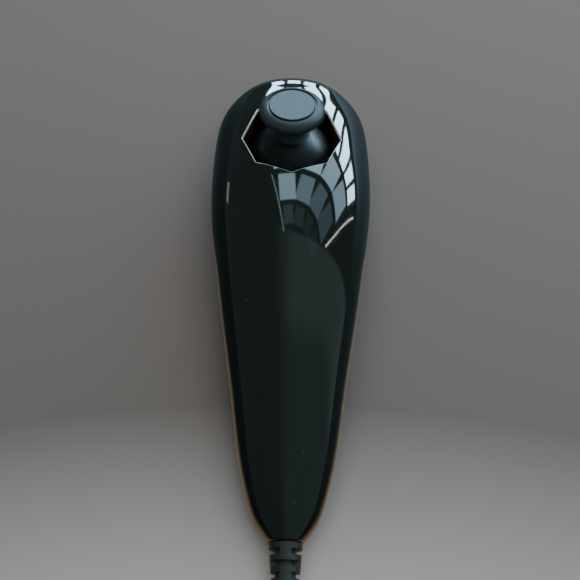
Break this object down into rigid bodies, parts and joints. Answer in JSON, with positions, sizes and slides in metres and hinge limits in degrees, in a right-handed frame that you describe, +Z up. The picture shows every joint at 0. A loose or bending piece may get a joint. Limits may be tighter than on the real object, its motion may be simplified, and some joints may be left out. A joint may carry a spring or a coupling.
{
  "type": "motion game controller",
  "caption": "One-handed game controller: palm-sized gloss shell, thumb stick in an eight-sided gate, two push buttons on the nose, corded plug.",
  "frame": {"origin": "on the surface the controller lies on, under the middle of its box, cord and plug left out", "axes": "+X to the right seen from above with the nose ahead, +Y towards the nose, +Z up"},
  "size_m": [0.0485, 0.251, 0.0341],
  "materials": {
    "casing_black": "gloss",
    "rubber_black": "matte",
    "stick_plastic": "satin",
    "cord_jacket": "satin",
    "plug_plastic": "satin",
    "steel": "satin",
    "board_green": "satin",
    "chip_black": "matte",
    "mechanism_white": "satin",
    "contact_gold": "polished",
    "flex_amber": "satin",
    "silicone_grey": "matte"
  },
  "bodies": {
    "casing": {"upper_casing": "casing_black", "lower_casing": "casing_black", "case_screws": "steel", "button_panel": "casing_black", "small_button_dome": "silicone_grey", "trigger_button_dome": "silicone_grey", "button_board": "board_green", "button_board_screws": "steel", "button_flex": "flex_amber", "stick_housing": "mechanism_white", "tilt_sensor_body": "chip_black", "side_sensor_body": "chip_black", "return_spring": "steel", "main_board": "board_green", "board_screws": "steel", "processor_chip": "chip_black", "motion_sensor": "chip_black", "crystal": "steel", "small_components": "chip_black", "cable_socket": "mechanism_white", "cable_plug": "mechanism_white", "cord_inner_end": "cord_jacket", "cord_conductors": "cord_jacket", "strain_relief": "rubber_black", "cord_lead": "cord_jacket", "cord_coil": "cord_jacket", "cord_tail": "cord_jacket", "cord_tie": "rubber_black", "plug_boot": "rubber_black", "plug_shell_upper": "plug_plastic", "plug_shell_lower": "plug_plastic", "plug_shroud": "steel", "plug_carrier": "plug_plastic", "plug_contacts": "contact_gold"},
    "tilt_rocker": {"tilt_rocker": "mechanism_white", "tilt_sensor_wiper": "mechanism_white", "stick_pin": "steel"},
    "stick": {"stick_cap": "rubber_black", "stick_dome": "stick_plastic", "stick_shaft": "mechanism_white"},
    "side_rocker": {"side_rocker": "mechanism_white", "side_sensor_wiper": "mechanism_white"},
    "plunger": {"return_plunger": "mechanism_white"},
    "small_button": {"small_button": "casing_black"},
    "trigger_button": {"trigger_button": "casing_black"},
    "latch_right": {"latch_right": "plug_plastic"},
    "latch_left": {"latch_left": "plug_plastic"}
  },
  "joints": [
    {"name": "stick_forward_back", "type": "hinge", "parent": "casing", "child": "tilt_rocker", "pos_m": [0, 0.03322, 0.01586], "axis": [1, 0, 0], "range_deg": [-18, 18], "stiffness_Nm_per_rad": 0.06},
    {"name": "stick_side", "type": "hinge", "parent": "tilt_rocker", "child": "stick", "pos_m": [0, 0.03322, 0.01586], "axis": [0, 0.9336, -0.3584], "range_deg": [-18, 18], "stiffness_Nm_per_rad": 0.06},
    {"name": "side_rocker_turn", "type": "hinge", "parent": "casing", "child": "side_rocker", "pos_m": [0, 0.03322, 0.01586], "axis": [0, 0.9336, -0.3584], "range_deg": [-18, 18]},
    {"name": "plunger_dip", "type": "slide", "parent": "casing", "child": "plunger", "axis": [0, -0.3584, -0.9336], "range_m": [0, 0.0007], "stiffness_N_per_m": 500, "springref_m": -0.0003, "deforming": ["return_spring"]},
    {"name": "small_button_press", "type": "slide", "parent": "casing", "child": "small_button", "axis": [0, -0.8098, 0.5867], "range_m": [0, 0.001], "stiffness_N_per_m": 600, "springref_m": -0.0004, "deforming": ["small_button_dome"]},
    {"name": "trigger_button_press", "type": "slide", "parent": "casing", "child": "trigger_button", "axis": [0, -0.8098, 0.5867], "range_m": [0, 0.0014], "stiffness_N_per_m": 500, "springref_m": -0.0004, "deforming": ["trigger_button_dome"]},
    {"name": "latch_right_squeeze", "type": "hinge", "parent": "casing", "child": "latch_right", "pos_m": [-0.0178, -0.1682, 0.00575], "axis": [0, 0, 1], "range_deg": [0, 4], "stiffness_Nm_per_rad": 0.05, "springref_deg": -1.72},
    {"name": "latch_left_squeeze", "type": "hinge", "parent": "casing", "child": "latch_left", "pos_m": [0.0006, -0.1682, 0.00575], "axis": [0, 0, -1], "range_deg": [0, 4], "stiffness_Nm_per_rad": 0.05, "springref_deg": -1.72}
  ],
  "couplings": [
    {"joint": "side_rocker_turn", "follows": "stick_side", "ratio": 1}
  ]
}
